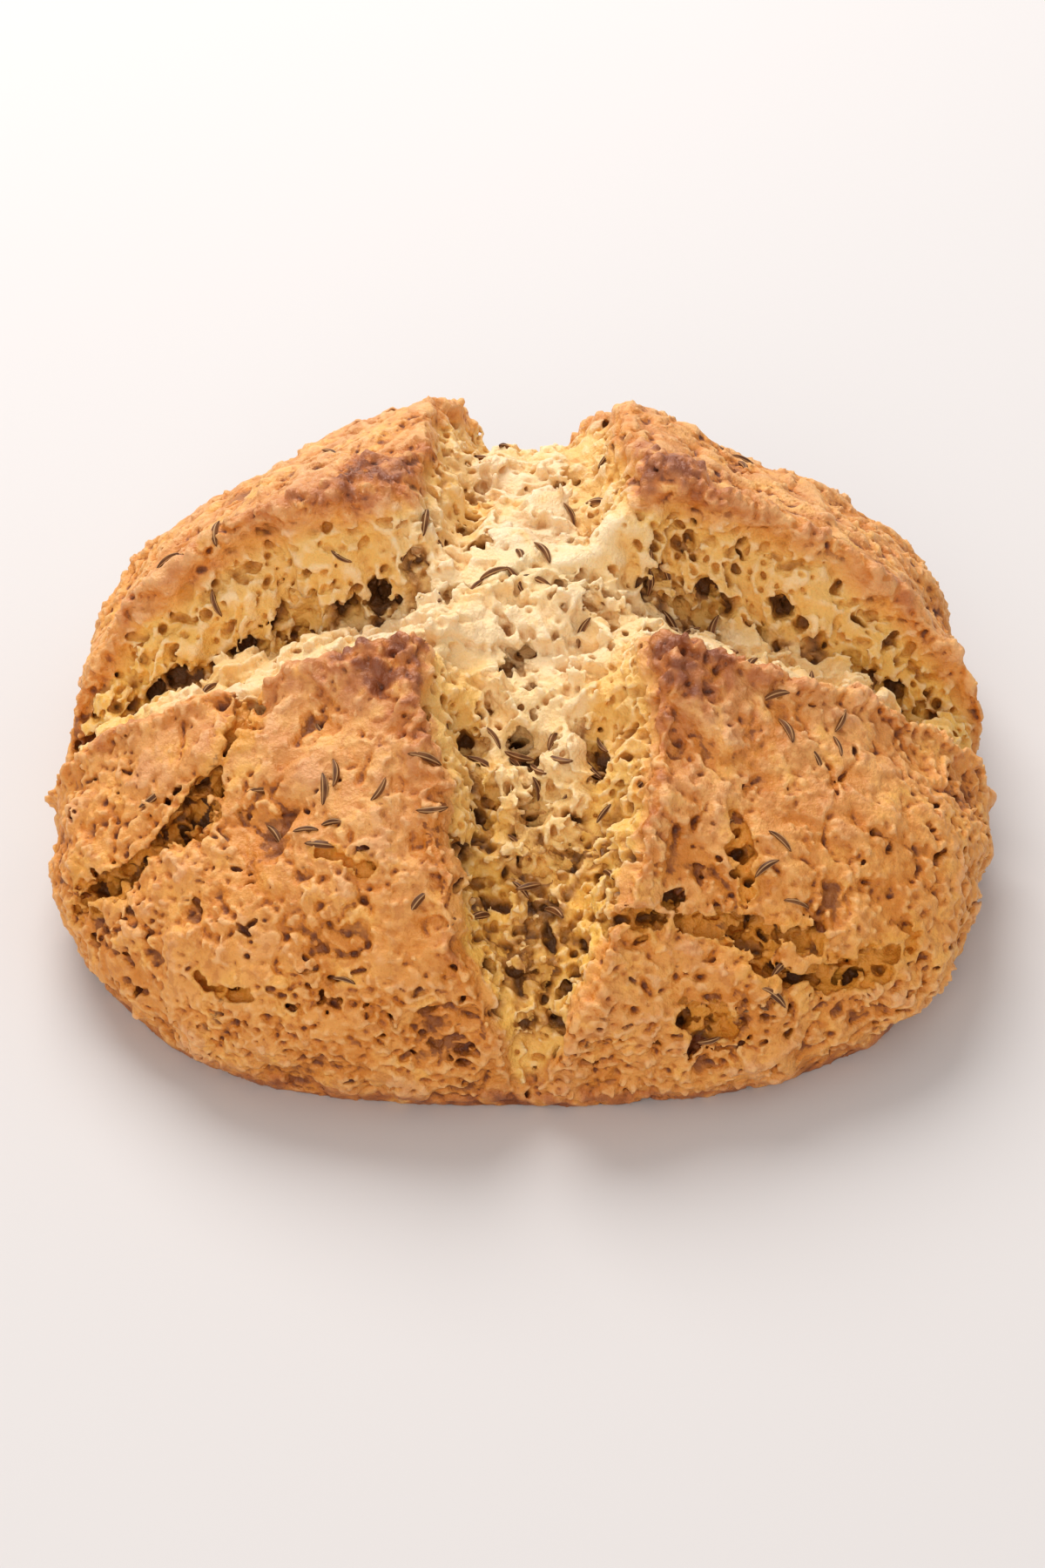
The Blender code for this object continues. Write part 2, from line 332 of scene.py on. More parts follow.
def lumps(points, height, size, offset):
    """The solid's own gentle unevenness."""
    shift = Vector((offset, 0, 0))
    values = [solid_noise.noise(Vector(point) + shift) for point in points.reshape(-1, 3) / size]
    return 2 * height * np.array(values).reshape(points.shape[:-1])


def grid_normals(points):
    along_i = np.gradient(points, axis=0)
    along_j = np.gradient(points, axis=1)
    return unit(np.cross(along_i, along_j))


def fit_to_size(points, spare=0.0):
    """The points stretched to the solid's exact size, less a little, centred over the origin."""
    low, high = points.min(axis=(0, 1)), points.max(axis=(0, 1))
    middle = (low + high) / 2 * (1, 1, 0)
    size = np.array([WIDTH, DEPTH, HEIGHT]) - spare
    return (points - middle) * size / (high - low * (1, 1, 0))


# ---------------------------------------------------------------- splits, corners and relief

# Splits in the crust: where each starts, right and back of the crown, its heading (degrees, 0 to the
# right and 90 to the back), its length, how far it turns, its depth and half its width. The first
# four take the solid's routes.
SPLITS = (
    (-49, -30, -95, 55, -90, 8.0, 2.8),
    (20, -84, 0, 36, 10, 6.5, 2.2),
    (48, -89, 0, 34, 60, 6.5, 2.6),
    (36, -102, 0, 8, 0, 5.5, 3.0),
    (40, -62, -80, 14, 0, 3.0, 1.6),
    (-62, -86, -50, 12, 35, 2.6, 1.2),
    (-36, -70, -20, 10, -20, 2.0, 1.1),
)
CRACKS = (  # splits in the crumb, told in the same way
    (0, -24, -75, 20, -20, 5.5, 1.5),
    (4, -46, -95, 18, 0, 5.0, 1.3),
    (3, -70, -88, 40, 0, 3.5, 2.2),
    (8, -4, -45, 15, 0, 4.5, 1.6),
    (-22, -6, -20, 10, 0, 4.0, 1.4),
)
SPLIT_STEPS = 6  # straight steps that make up a split's bend
RIM_BUMPS = (  # right, back, reach, height: where a rim stands up a little more
    (-22, 48, 14, 2.5),
    (26, 46, 14, 3.0),
    (-95, -58, 16, 1.6),
)
# The crust's corners at the crossing: side and end (1 for right or back), then how far in from the
# corner its bulge is, the bulge's reach and height, and the reach of the browning.
CORNERS = (
    (1, 1, 7, 7, 6.5, 9),
    (-1, 1, 7, 8, 4.5, 10),
    (-1, -1, 7, 8, 3.4, 11),
    (1, -1, 6, 7, 3.8, 10),
)


def split_route(right, back, heading, length, turn):
    """Places along a split, which turns evenly from its first heading."""
    headings = np.radians(heading + turn * (np.arange(SPLIT_STEPS) + 0.5) / SPLIT_STEPS)
    steps = np.stack([np.cos(headings), np.sin(headings)], -1) * length / SPLIT_STEPS
    return np.vstack([(0, 0), np.cumsum(steps, axis=0)]) + (right, back)


def corner_place(side, end, inset):
    """A place on a quarter of the crust, set in from its corner at the crossing of the cut."""
    across = FRONT_BACK_RIGHT_EDGE if side > 0 else FRONT_BACK_LEFT_EDGE
    along = LEFT_RIGHT_BACK_EDGE if end > 0 else LEFT_RIGHT_FRONT_EDGE
    right = side * 20
    for step in range(3):
        back = between_stops(right, along)
        right = between_stops(back, across)
    return right + side * inset, back + end * inset


def route_distance(a, b, route):
    """Distance along the crust from each place to the nearest point of a route."""
    nearest = np.full(a.shape, np.inf)
    for start, end in zip(route, route[1:]):
        run = end - start
        share = np.clip(((a - start[0]) * run[0] + (b - start[1]) * run[1]) / (run @ run), 0, 1)
        away = np.hypot(a - start[0] - share * run[0], b - start[1] - share * run[1])
        nearest = np.minimum(nearest, away)
    return nearest


def split_depth(a, b, points, splits):
    """Depth of the splits, with torn edges, and how near their middle each point is, from 0 to 1."""
    depth, opened = np.zeros(a.shape), np.zeros(a.shape)
    torn = 0.9 * uneven(points, 5, 60) + 0.8 * uneven(points, 2.1, 61) + 0.4 * uneven(points, 1.1, 63)
    width = 0.9 + 1.0 * uneven(points, 8, 62)
    for right, back, heading, length, turn, deep, half_width in splits:
        route = split_route(right, back, heading, length, turn)
        away = route_distance(a, b, route) / (half_width * np.maximum(width, 0.35)) + torn
        floor = deep * np.clip(0.75 + 0.8 * torn, 0.25, 1.3)
        depth = np.maximum(depth, floor * (1 - smoothstep(-0.5, 1.1, away)))
        opened = np.maximum(opened, 1 - smoothstep(-0.1, 2.6, away))
    return depth, opened


def wandering(points, size, reach, seed):
    """The points moved about unevenly, so that a pattern read there is bent."""
    return points + reach * np.stack([uneven(points, size, seed + k) for k in range(3)], -1)


def around(points, size, turns, seed):
    """Noise drawn out level around the loaf: size mm high, 16 * turns lumps all the way round."""
    angle = np.arctan2(points[..., 0], -points[..., 1]) / (2 * np.pi)
    run = angle * BLOCK / SAMPLES * size * turns
    place = np.stack([run, np.hypot(points[..., 0], points[..., 1]), points[..., 2]], -1)
    return uneven(place, size, seed)


def ridges(value, width):
    """1 along the line where a noise is 0, falling to 0 beside it."""
    return np.exp(-((value / width) ** 2))


def drawn_out(points, times, degrees):
    """The points squeezed along a level direction, so that noise read there is drawn out along it."""
    turn = math.radians(degrees)
    along = points[..., 0] * math.cos(turn) + points[..., 1] * math.sin(turn)
    across = points[..., 1] * math.cos(turn) - points[..., 0] * math.sin(turn)
    return np.stack([along / times, across, points[..., 2]], -1)


def terraces(climb, rise):
    """Flat steps up a slope, each reached over the last part of the climb, about 0 on average."""
    step = np.floor(climb)
    return step + smoothstep(1 - rise, 1, climb - step) + 0.45


def crumb_relief(points, wall, along, inward):
    """Torn crumb: drawn sheets with ragged edges, and bands of dough pulled down the cut's walls."""
    bent = np.stack([uneven(points, 2.0, 64 + k) for k in range(3)], -1)
    moved = wandering(points, 8, 2.6, 70) + 0.5 * bent
    sheets = drawn_out(moved, 2.4, 25)
    ragged = 0.4 * uneven(points, 2.6, 76) + 0.3 * uneven(points, 1.3, 77)
    ragged += 0.12 * uneven(points, 0.8, 79)
    swell = 2.4 * uneven(moved, 13, 73) + 1.0 * uneven(moved, 6, 74)
    level = 2.3 * terraces(1.6 * uneven(moved, 14, 78) + 0.7 * ragged, 0.12)
    level += 1.2 * terraces(1.2 * uneven(sheets, 7, 85) + 0.8 * ragged, 0.16)
    level += 0.2 * uneven(sheets, 2.2, 86) - 1.3 * ridges(uneven(sheets, 5, 87), 0.07)
    level += 0.15 * uneven(points, 1.6, 81)
    lace = smoothstep(-62, -78, points[..., 1]) * smoothstep(6, 14, points[..., 2]) * (1 - wall)
    lines = np.stack([along, inward / 4.5, 0 * along], -1) + 0.9 * (moved - points) * (1, 0, 1)
    bands = smoothstep(-0.3, 0.1, uneven(lines, 5.2, 80) + 0.45 * uneven(lines, 2.3, 83))
    gaps = (1 - bands) * (0.5 + 2.0 * smoothstep(2, 8, inward))
    fine = 0.18 * uneven(points, 0.95, 82)
    flat = 1 - 0.75 * wall - 0.55 * lace
    return swell + level * flat + (0.5 * uneven(moved, 3, 75) - gaps) * wall + fine


def crust_relief(points, edge, rim, bulge):
    """Baked crust: lumps and torn flakes with creases between them, and level folds low down."""
    bent = np.stack([uneven(points, 1.6, 103 + k) for k in range(3)], -1)
    moved = wandering(points, 7, 1.9, 90) + 0.4 * bent
    low = smoothstep(50, 20, points[..., 2])
    rough = smoothstep(-0.15, 0.3, uneven(points, 19, 104))
    swell = 1.3 * layered(points, 13, 95, 2)
    ragged = 0.35 * uneven(points, 2.2, 109) + 0.3 * uneven(points, 1.1, 112)
    broad = terraces(1.5 * uneven(moved, 17, 118) + 0.8 * ragged, 0.1)
    swell += 0.45 * broad
    flakes = 0.3 * broad + 0.55 * terraces(1.9 * uneven(moved, 9, 113) + ragged, 0.16)
    flakes += (0.1 + 0.3 * rough) * terraces(1.6 * uneven(moved, 4.2, 114) + 1.3 * ragged, 0.18)
    small_lumps = 0.45 * uneven(moved, 5.2, 115) + (0.02 + 0.28 * rough) * uneven(moved, 2.2, 116)
    cushions = (0.5 + 0.3 * rim + 0.2 * rough) * (np.sqrt(pads(moved, 6.5, 93)) - 0.7)
    cushions += (0.05 + 0.32 * rough) * (np.sqrt(pads(moved, 2.5, 94)) - 0.7)
    beads = rim * smoothstep(6, 1.5, edge) * smoothstep(-0.3, 0.2, uneven(points, 9, 105))
    cushions += (1.7 * beads + 2.8 * bulge) * (np.sqrt(pads(moved, 3.6, 106)) - 0.6)
    line = np.abs(uneven(moved, 9, 97)) / 0.045
    torn = smoothstep(-0.05, 0.2, uneven(points, 11, 98)) * (1 - 0.5 * low)
    cracks = torn * (0.3 * np.exp(-((line - 2.2) ** 2)) - 1.0 * np.exp(-(line**2)))
    cracks -= (0.08 + 0.5 * rough) * ridges(uneven(moved, 3.8, 107), 0.06)
    patches = smoothstep(-0.1, 0.15, uneven(points, 8, 126))
    cracks -= (1.4 - 0.6 * rough) * patches * ridges(uneven(moved, 7, 119), 0.07)
    folds = 0.45 * around(moved, 2.3, 5, 101)
    nicks = smoothstep(0.3, 0.46, around(moved, 1.5, 8, 102))
    nicks += smoothstep(0.34, 0.5, around(moved, 1.0, 14, 117))
    wrinkles = (0.06 + 0.24 * rough) * uneven(moved, 1.5, 100) + 0.12 * uneven(points, 0.85, 108)
    creases = flakes + small_lumps + cushions + cracks + low * folds + wrinkles
    return swell, creases - (0.1 + 0.8 * low) * nicks


def downhill(normals, points):
    """The way down each slope, leaning outwards on the side arms."""
    down = np.zeros_like(normals)
    down[..., 2] = -1
    down[..., 0] = 0.6 * np.clip(points[..., 0] / 25, -1, 1)
    return unit(down - normals * np.sum(down * normals, -1, keepdims=True))


def torn_walls(column, row, a, b, edge, shares):
    """Where the cut's walls are, from 0 to 1, and how far along the cut each point is."""
    in_side_arm = smoothstep(0.8, 1.15, np.abs(column)) * shares[1]
    in_front_arm = smoothstep(0.8, 1.15, np.abs(row)) * shares[0]
    side_wall = in_side_arm * (smoothstep(0.3, 0.5, row) + smoothstep(-0.86, -0.95, row))
    front_wall = in_front_arm * smoothstep(0.35, 0.6, np.abs(column))
    inward = np.maximum(-edge, 0)
    along = np.where(in_side_arm > in_front_arm, a / (1 + 0.03 * inward), b / (1 + 0.02 * inward))
    wall = np.clip(side_wall + front_wall, 0, 1) * smoothstep(0, -1.5, edge)
    foot = in_side_arm * np.exp(-(((row - 0.44) / 0.13) ** 2))
    foot = foot + 0.6 * in_front_arm * np.exp(-(((np.abs(column) - 0.5) / 0.12) ** 2))
    return wall, np.clip(foot, 0, 1) * (edge < 0), along, inward


def loaf_surface():
    """The fine surface before anything is carved out of it, with what its looks depend on."""
    column, row, a, b, edge = fine_grid()
    base = dome(a, b)
    depth = groove_depth(column, row, a, b)
    shares = groove_shares(a, b)
    lift, rim = crust_lift(column, row, a, b, shares)
    beside = np.where(np.abs(column) < 1, shares[0], 0), np.where(np.abs(row) < 1, shares[1], 0)
    drop = LIP_DROP * smoothstep(-0.2, -1.4, edge) * smoothstep(-11, -3, edge)
    depth = depth + drop * np.sqrt(np.maximum(*beside))
    crumb = smoothstep(0.4, 2.4, depth)
    split, opened = split_depth(a, b, base, SPLITS)
    crack, parted = split_depth(a, b, base, CRACKS)
    bare = smoothstep(0, 5, depth)
    lift = lift - depth - split * (1 - bare) - crack * bare
    lift += LIP_ROLL * rim * np.exp(-(((edge - 1.9) / 2.0) ** 2))
    bulge = np.zeros(a.shape)
    for side, end, inset, reach, height, browning in CORNERS:
        right, back = corner_place(side, end, inset)
        near = np.exp(-((np.hypot(a - right, b - back) / reach) ** 2))
        lift += (1 - bare) * height * near
        bulge = np.maximum(bulge, near)
    for right, back, reach, height in RIM_BUMPS:
        lift += (1 - bare) * height * np.exp(-((np.hypot(a - right, b - back) / reach) ** 2))
    lift += (1 - bare) * lumps(base, LUMP_HEIGHT, LUMP_SIZE, LUMP_SHIFT)
    lift += bare * lumps(base, CRUMB_LUMP_HEIGHT, CRUMB_LUMP_SIZE, CRUMB_LUMP_SHIFT)
    above_base = 1 - smoothstep(0.9 * CRUST_RUN, CRUST_RUN, np.hypot(a, b))
    points = fit_to_size(base + dome_normals(a, b) * (lift * above_base)[..., None])
    normals = grid_normals(points)
    pull = downhill(normals, points)
    wall, foot, along, inward = torn_walls(column, row, a, b, edge, shares)
    crumb = np.maximum(crumb, smoothstep(0.6, 0.85, opened))
    relief, fine = np.zeros(a.shape), np.zeros(a.shape)
    soft, baked = crumb > 0.01, crumb < 0.99
    relief[soft] += crumb[soft] * crumb_relief(points[soft], wall[soft], along[soft], inward[soft])
    swell, creases = crust_relief(points[baked], edge[baked], rim[baked], bulge[baked])
    relief[baked] += (1 - crumb[baked]) * (swell + creases)
    fine[baked] = creases
    torn_open = smoothstep(0.6, 0.95, opened) * (1 - bare)
    relief -= torn_open * (0.5 * relief + 2.0)
    slots = smoothstep(0.0, 0.3, uneven(np.stack([along, inward / 6, 0 * along], -1), 4.2, 84))
    relief -= 4.2 * slots * foot
    above_floor = smoothstep(0, 5, points[..., 2])
    points = points + normals * (relief * (0.25 + 0.75 * above_floor))[..., None]
    points[..., 2] = np.maximum(points[..., 2], 0)
    facts = {"a": a, "b": b, "edge": edge, "share": np.maximum(*beside), "rim": rim, "crumb": crumb}
    gash = split * (1 - bare) + crack * bare
    facts |= {"wall": wall, "foot": foot, "opened": opened, "parted": parted, "gash": gash}
    facts |= {"pull": pull, "relief": fine}
    points = fit_to_size(points, SPARE)
    return points, grid_normals(points), facts


# ---------------------------------------------------------------- holes in the volume

VOXEL = 0.4  # side of one cube
BAND = 4  # voxels on each side of the surface in which distances are true


def grid_faces(count):
    """Quads over the grid, and the loop of its outer points."""
    index = np.arange(count * count).reshape(count, count)
    quads = np.stack([index[:-1, :-1], index[1:, :-1], index[1:, 1:], index[:-1, 1:]], -1)
    loop = np.concatenate([index[:-1, 0], index[-1, :-1], index[:0:-1, -1], index[0, :0:-1]])
    return quads.reshape(-1, 4), loop


class Volume:
    """Distances to the loaf's surface on a lattice of cubes: below 0 inside, above 0 outside."""

    def __init__(self, points, quads, triangles):
        transform = openvdb.createLinearTransform(voxelSize=VOXEL)
        grid = openvdb.FloatGrid.createLevelSetFromPolygons(
            points.astype(np.float32),
            triangles=triangles.astype(np.uint32),
            quads=quads.astype(np.uint32),
            transform=transform,
            halfWidth=BAND,
        )
        self.first = np.floor(points.min(0) / VOXEL).astype(int) - BAND - 1
        last = np.ceil(points.max(0) / VOXEL).astype(int) + BAND + 2
        self.distance = np.empty(last - self.first, np.float32)
        grid.copyToArray(self.distance, ijk=tuple(int(i) for i in self.first))

    def distance_at(self, place):
        """The distance in the cube nearest to a place."""
        return self.distance[tuple(np.rint(place / VOXEL).astype(int) - self.first)]

    def carve(self, middle, axes, radii, soft):
        """Take an uneven ellipsoid out, leaving a rounded lip of about soft mm."""
        reach = 1.4 * np.sqrt(((axes * radii[:, None]) ** 2).sum(0)) + soft + VOXEL
        low = np.maximum(np.floor((middle - reach) / VOXEL).astype(int) - self.first, 0)
        high = np.ceil((middle + reach) / VOXEL).astype(int) - self.first + 1
        high = np.minimum(high, self.distance.shape)
        if (high <= low).any():
            return
        spans = [(np.arange(l, h) + f) * VOXEL - m for l, h, f, m in zip(low, high, self.first, middle)]
        x, y, z = np.meshgrid(*spans, indexing="ij", sparse=True)
        near = far = 0
        for axis, radius in zip(axes, radii):
            along = (x * axis[0] + y * axis[1] + z * axis[2]) / radius
            near = near + along**2
            far = far + (along / radius) ** 2
        places = np.stack(np.broadcast_arrays(x + middle[0], y + middle[1], z + middle[2]), -1)
        near = np.sqrt(near) * (1 + 0.45 * uneven(places, 2.4, 5) + 0.35 * uneven(places, 1.2, 6))
        inside = near * (1 - near) / np.maximum(np.sqrt(far), 1e-6)
        block = tuple(slice(l, h) for l, h in zip(low, high))
        kept = self.distance[block]
        blend = np.clip(0.5 + 0.5 * (inside - kept) / soft, 0, 1)
        self.distance[block] = kept + (inside - kept) * blend + soft * blend * (1 - blend)


HOLE_LIP = 0.2  # how widely a hole's lip is rounded
PORES = (  # where, how many, least and most half width, drawn out this many times, depth for width
    ("pocket", 30, 1.6, 3.0, 1.9, 0.5),
    ("foot", 150, 1.0, 2.5, 2.0, 1.6),
    ("lace", 260, 0.6, 1.9, 2.6, 1.4),
    ("lip", 420, 0.55, 1.1, 3.4, 1.1),
    ("split", 300, 0.6, 1.9, 2.0, 2.0),
    ("web", 520, 0.55, 1.3, 2.2, 2.0),
    ("crumb", 800, 0.4, 0.62, 1.8, 2.2),
    ("pit", 170, 0.36, 0.6, 3.2, 1.6),
    ("low pit", 520, 0.36, 0.66, 4.2, 1.6),
)


def where_holes_lie(points, facts):
    """How thickly each kind of hole lies over the surface."""
    edge = facts["edge"]
    crumb = facts["crumb"] * smoothstep(-1.0, -3.0, edge)
    airy = smoothstep(-0.1, 0.25, uneven(points, 14, 110))
    crust = (1 - facts["crumb"]) * smoothstep(0.8, 2.5, edge)
    clustered = smoothstep(-0.15, 0.35, uneven(points, 12, 111))
    low = smoothstep(52, 18, points[..., 2])
    front_groove = smoothstep(-35, -60, facts["b"]) * smoothstep(-2, -5, edge)
    low_front = smoothstep(-58, -76, facts["b"]) * smoothstep(-1.5, -4, edge) * (1 - 0.7 * facts["wall"])
    return {
        "pocket": crumb * (front_groove + 0.4 * facts["wall"] * airy),
        "foot": crumb * facts["foot"],
        "lace": crumb * low_front * smoothstep(-122, -112, facts["b"]),
        "lip": facts["share"] * np.exp(-(((edge + 2.2) / 0.7) ** 2)),
        "split": smoothstep(0.65, 0.9, np.maximum(facts["opened"], facts["parted"])) * facts["gash"],
        "web": crumb * (0.1 + 0.6 * facts["wall"] + 0.8 * front_groove) * (0.1 + airy),
        "crumb": crumb * (0.06 + facts["wall"] + front_groove),
        "pit": crust * (0.1 + clustered),
        "low pit": crust * low * (0.1 + clustered) * (0.35 + smoothstep(0, 40, -points[..., 1])),
    }


def hole_axes(kind, normal, pull, rng):
    """A hole's own directions: across, drawn out along, and straight in."""
    along = pull
    if "pit" in kind or kind in ("lip", "split", "lace"):
        along = unit(np.cross((0, 0, 1), normal) + rng.normal(0, 0.2, 3))
    along = unit(along - normal * (along @ normal))
    return np.array([np.cross(normal, along), along, normal])


def carve_holes(volume, points, normals, facts):
    """Air holes in the crumb, drawn out along the tear, and pits in the crust, drawn out level."""
    rng = np.random.default_rng(21)
    kinds = where_holes_lie(points, facts)
    spread = np.cross(np.gradient(points, axis=0), np.gradient(points, axis=1))
    area = np.linalg.norm(spread, axis=-1).ravel()
    flat_points, flat_normals = points.reshape(-1, 3), normals.reshape(-1, 3)
    pull = facts["pull"].reshape(-1, 3)
    for kind, count, least, most, drawn, deep in PORES:
        weight = kinds[kind].ravel() * area
        for pick in rng.choice(len(area), count, p=weight / weight.sum()):
            axes = hole_axes(kind, flat_normals[pick], pull[pick], rng)
            wide = least + (most - least) * rng.random() ** 1.6
            radii = wide * np.array([1, rng.uniform(1, drawn), deep * rng.uniform(0.7, 1.3)])
            middle = flat_points[pick] - axes[2] * radii[2] * rng.uniform(0.1, 0.5)
            volume.carve(middle, axes, radii, HOLE_LIP)
            if kind != "pocket":
                continue
            for number in range(rng.integers(3, 7)):
                aside = rng.uniform(-0.65, 0.65, 2) @ (axes[:2] * radii[:2, None])
                inner = rng.uniform(0.5, 1.1) * np.array([1, rng.uniform(1, 1.8), 2.2])
                volume.carve(middle + aside - axes[2] * radii[2], axes, inner, HOLE_LIP)


# ---------------------------------------------------------------- the loaf's pieces

FAR = 200  # past the loaf on every side
LEFT, MIDDLE, RIGHT = (-FAR, -22.5), (-22.5, 22.5), (22.5, FAR)
FRONT, CENTRE, BACK = (-FAR, -48), (-48, -3), (-3, FAR)
MOST_TRIANGLES = 196000
COARSENESSES = (0.005, 0.02, 0.04, 0.07, 0.1, 0.15, 0.2, 0.3, 0.5)  # tried in turn
UNDERLAP = 0.9  # how far a piece reaches in under its neighbour, a little lower
PIECES = {
    "front_left": (LEFT, FRONT),
    "front": (MIDDLE, FRONT),
    "front_right": (RIGHT, FRONT),
    "left": (LEFT, CENTRE),
    "centre": (MIDDLE, CENTRE),
    "right": (RIGHT, CENTRE),
    "back_left": (LEFT, BACK),
    "back": (MIDDLE, BACK),
    "back_right": (RIGHT, BACK),
}


def beyond(places, span):
    """How far the places are outside a span, below 0 inside it."""
    return np.maximum(span[0] - places, places - span[1])


def piece_distance(volume, spans):
    """The first cube and the loaf's distances for one piece, cut off just past its planes."""
    places = [(np.arange(n) + f) * VOXEL for n, f in zip(volume.distance.shape, volume.first)]
    spans = *spans, (-FAR, FAR)
    kept = [np.flatnonzero(beyond(line, span) < UNDERLAP + 2) for line, span in zip(places, spans)]
    block = tuple(slice(k[0], k[-1] + 1) for k in kept)
    outside_x = beyond(places[0][block[0]], spans[0])[:, None, None]
    outside_y = beyond(places[1][block[1]], spans[1])[None, :, None]
    outside = np.maximum(outside_x, outside_y)
    lower = 0.15 * smoothstep(-0.1, 0.3, outside)
    first = volume.first + [k[0] for k in kept]
    return first, np.maximum(volume.distance[block] + lower, outside - UNDERLAP).astype(np.float32)


def largest_part(count, faces):
    """Which points belong to the biggest joined part of a mesh."""
    label = np.arange(count)
    starts, ends = faces.ravel(), np.roll(faces, -1, axis=1).ravel()
    while True:
        lowest = np.minimum(label[starts], label[ends])
        before = label.copy()
        np.minimum.at(label, starts, lowest)
        np.minimum.at(label, ends, lowest)
        label = label[label]
        if (label == before).all():
            break
    return label == np.bincount(label).argmax()


def surface_mesh(first, distance):
    """Points and faces where the distance is 0, as fine as the limit on triangles lets them be."""
    grid = openvdb.FloatGrid(float(VOXEL * BAND))
    grid.transform = openvdb.createLinearTransform(voxelSize=VOXEL)
    grid.copyFromArray(distance, ijk=tuple(int(i) for i in first))
    for coarseness in COARSENESSES:
        points, triangles, quads = grid.convertToPolygons(isovalue=0, adaptivity=coarseness)
        if len(triangles) + 2 * len(quads) < MOST_TRIANGLES:
            break
    faces = np.vstack([quads, np.column_stack([triangles, triangles[:, 2:]])]).astype(np.int64)
    kept = largest_part(len(points), faces)
    faces = faces[kept[faces[:, 0]]]
    renumber = np.cumsum(kept) - 1
    return points[kept], renumber[faces]


class NearestPlace:
    """Finds the point of the fine surface that lies nearest to a place."""

    STEP = 2  # every second line of the fine grid is enough

    def __init__(self, points, normals, facts):
        pick = (slice(None, None, self.STEP),) * 2
        self.points = points[pick].reshape(-1, 3)
        self.normals = normals[pick].reshape(-1, 3)
        self.facts = {name: values[pick].reshape(len(self.points), -1) for name, values in facts.items()}
        self.tree = kdtree.KDTree(len(self.points))
        for number, point in enumerate(self.points):
            self.tree.insert(point, number)
        self.tree.balance()

    def find(self, places):
        return np.array([self.tree.find(place)[1] for place in places])


def hollowness(mesh, faces, rounds):
    """How far each point lies below the mean of the points around it, in mm."""
    points = np.empty(len(mesh.vertices) * 3, np.float32)
    mesh.vertices.foreach_get("co", points)
    points = points.reshape(-1, 3) / MM
    normals = np.empty(len(points) * 3, np.float32)
    mesh.vertex_normals.foreach_get("vector", normals)
    starts = np.concatenate([faces.ravel(), np.roll(faces, -1, axis=1).ravel()])
    ends = np.concatenate([np.roll(faces, -1, axis=1).ravel(), faces.ravel()])
    joined = np.bincount(starts, minlength=len(points))
    smooth = points.astype(float)
    for turn in range(rounds):
        smooth = np.stack([np.bincount(starts, smooth[ends, k], len(points)) for k in range(3)], -1)
        smooth = smooth / joined[:, None]
    return np.sum((smooth - points) * normals.reshape(-1, 3), -1)


def looks_of(mesh, places, faces, nearest):
    """Notes on the mesh for its material, from 0 to 1: crumb and browning, and the hollows and relief
    along which painted shade and painted highlights are laid.
    """
    picks = nearest.find(places)
    facts = {name: values[picks][:, 0] for name, values in nearest.facts.items()}
    below = np.sum((nearest.points[picks] - places) * nearest.normals[picks], -1)
    edge, crumb = facts["edge"], facts["crumb"]
    brown = 0.4 * facts["rim"] * smoothstep(-0.3, 0.4, layered(places, 10, 120))
    scorched = 0.75 * smoothstep(7, 1, places[:, 2] + 3 * layered(places, 9, 125))
    brown = np.maximum(brown, scorched)
    mottle = layered(places, 6, 121)
    scallops = 1.5 * uneven(places, 6.5, 124) + 0.6 * uneven(places, 2.5, 122)
    torn = crumb * smoothstep(-0.5, -1.2, edge + scallops) * smoothstep(3, 10, places[:, 2] + mottle * 4)
    for side, end, inset, reach, height, browning in CORNERS:
        right, back = corner_place(side, end, 0.7 * inset)
        away = np.hypot(facts["a"] - right, facts["b"] - back) / browning + 0.5 * mottle
        along_rim = (0.7 + 0.4 * mottle) * facts["rim"] * (1 - smoothstep(0.8, 3.2, away))
        brown = np.maximum(brown, np.maximum(1 - smoothstep(0.2, 1.4, away), along_rim))
    notes = {
        "crumb": torn + smoothstep(0.58, 0.8, facts["opened"]),
        "opened": facts["opened"] * (1 - smoothstep(-0.5, -2, edge)),
        # cracks in the crumb, darkened there as painted shade
        "parted": facts["parted"] * crumb,
        "browned": brown * (1 - crumb) * (0.75 + 0.8 * layered(places, 3.5, 123)),
        # depth inside a hole or split, along which painted shade darkens both materials
        "hollow": below / 4 + facts["gash"] / 20,
        # how far a point lies below the points around it: painted shade in hollows, painted highlight on
        # bumps
        "sunk": 0.5 + hollowness(mesh, faces, 7) / 1.2,
        # the crust's fine relief: partly a painted highlight on raised tops, painted shade in the
        # deepest creases
        "crease": 0.5 + facts["relief"] / 4,
        "inward": -edge / 10,
        # the cut's walls; in the crumb they carry a painted warm shade
        "wall": facts["wall"],
        # low on the loaf; in the crumb this lays a painted warm shade
        "low": smoothstep(58, 18, places[:, 2]),
    }
    for name, values in notes.items():
        values = np.clip(values, 0, 1).astype(np.float32)
        mesh.attributes.new(name, "FLOAT", "POINT").data.foreach_set("value", values)


def mesh_piece(name, points, faces, material):
    """A piece made of points in mm and of quads, where a triangle repeats its last corner."""
    mesh = bpy.data.meshes.new(name)
    corners = [face[:3] if face[2] == face[3] else face for face in faces.tolist()]
    mesh.from_pydata((points * MM).tolist(), [], corners)
    mesh.shade_smooth()
    mesh.materials.append(material)
    piece = bpy.data.objects.new(name, mesh)
    bpy.context.scene.collection.objects.link(piece)
    return piece


